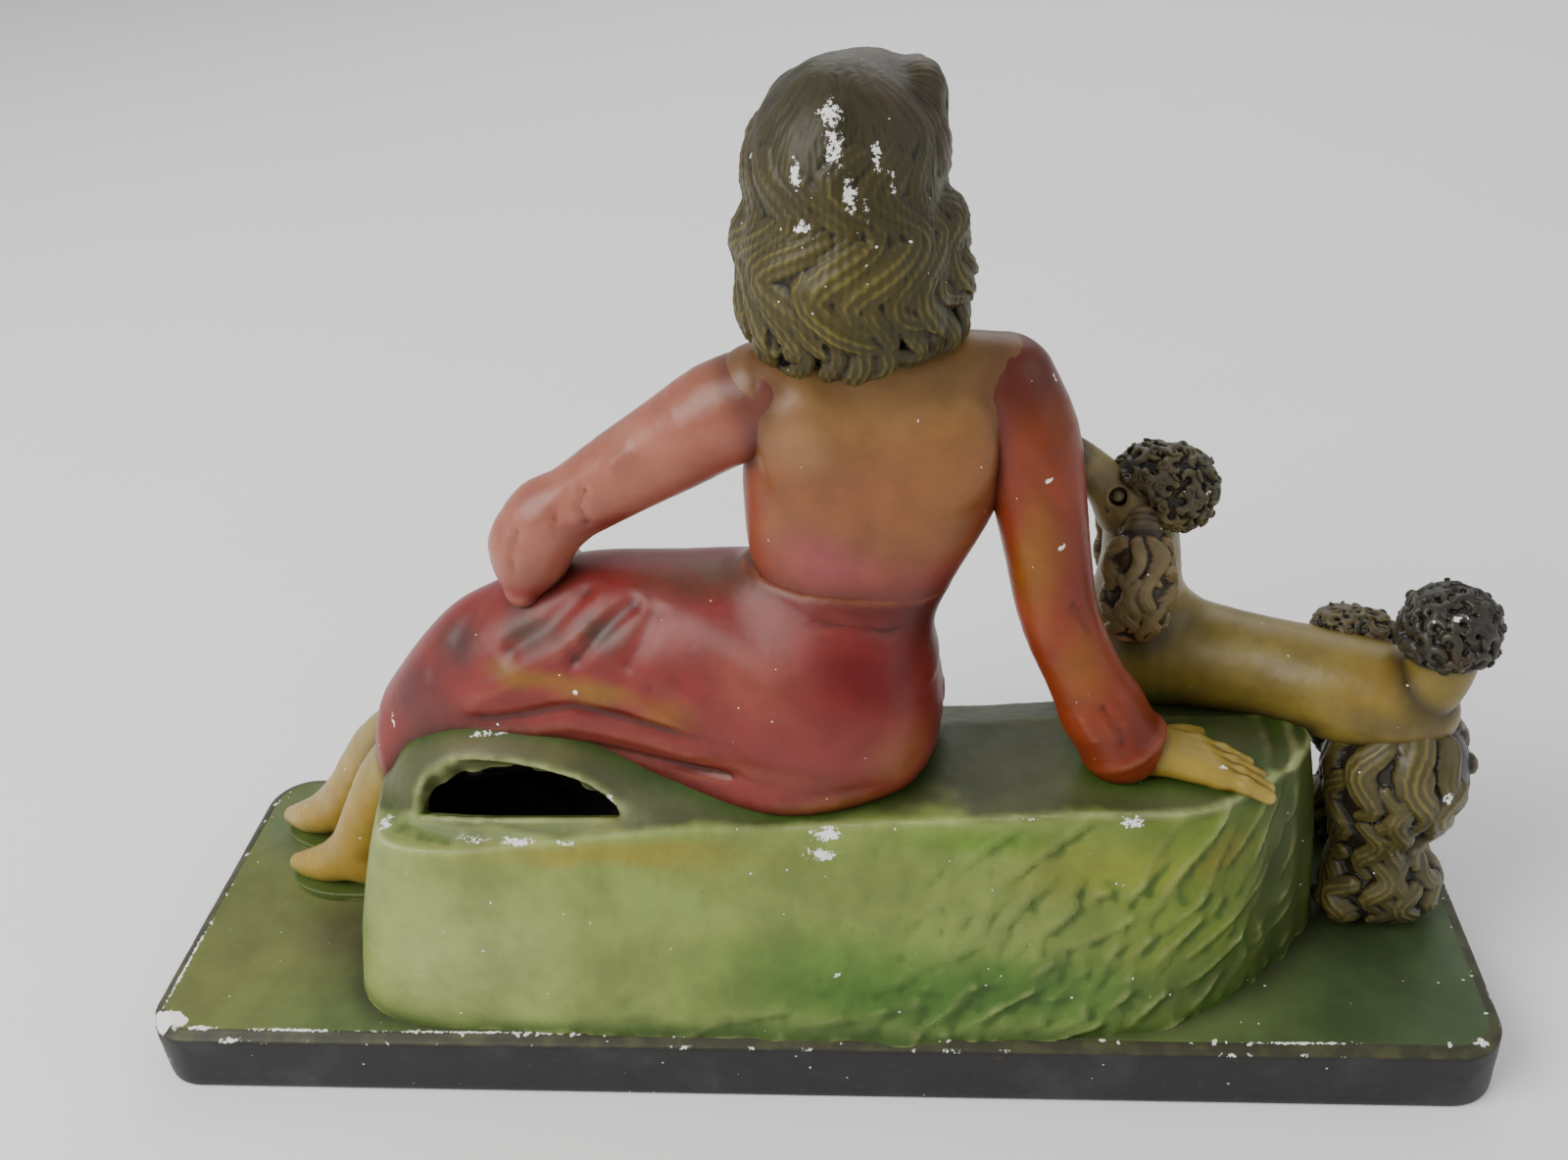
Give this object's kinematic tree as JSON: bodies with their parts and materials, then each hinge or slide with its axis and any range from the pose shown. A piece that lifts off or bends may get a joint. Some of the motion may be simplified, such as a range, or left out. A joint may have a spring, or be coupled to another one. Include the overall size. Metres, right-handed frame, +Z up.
{
  "type": "plaster figurine",
  "caption": "Painted hollow plaster figurine of a lady in a long dress sitting on a grassy bank with a clipped poodle, on a low base.",
  "frame": {"origin": "centre of the underside of the base", "axes": "+X along the base towards the lady's feet (her left), -Y the way she faces, +Z up"},
  "size_m": [0.5, 0.154, 0.357],
  "materials": {
    "base_green": "satin",
    "bank_green": "satin",
    "dress_rose": "satin",
    "sleeve_coral": "satin",
    "skin": "satin",
    "hair_brown": "satin",
    "shoe": "satin",
    "shoe_sole": "satin",
    "dog_cream": "satin",
    "dog_curls": "matte",
    "iron_wire": "matte"
  },
  "bodies": {
    "root": {"plinth": "base_green", "bank": "bank_green", "torso": "dress_rose", "skirt": "dress_rose", "left_sleeve": "sleeve_coral", "right_sleeve": "sleeve_coral", "neck": "skin", "face": "skin", "left_hand": "skin", "right_hand": "skin", "hair": "hair_brown", "left_foot": "shoe", "right_foot": "shoe", "left_shoe_sole": "shoe_sole", "right_shoe_sole": "shoe_sole", "dog_body": "dog_cream", "dog_head": "dog_cream", "dog_tail_stalk": "dog_cream", "dog_front_leg_right": "dog_cream", "dog_front_leg_left": "dog_cream", "dog_topknot": "dog_curls", "dog_ear_right": "dog_curls", "dog_ear_left": "dog_curls", "dog_hind_leg_right": "dog_curls", "dog_hind_leg_left": "dog_curls", "dog_tail_pompon": "dog_curls", "dog_hip_tuft": "dog_curls", "left_arm_wire": "iron_wire", "right_arm_wire": "iron_wire", "neck_wire": "iron_wire", "dog_tail_wire": "iron_wire"}
  },
  "joints": []
}
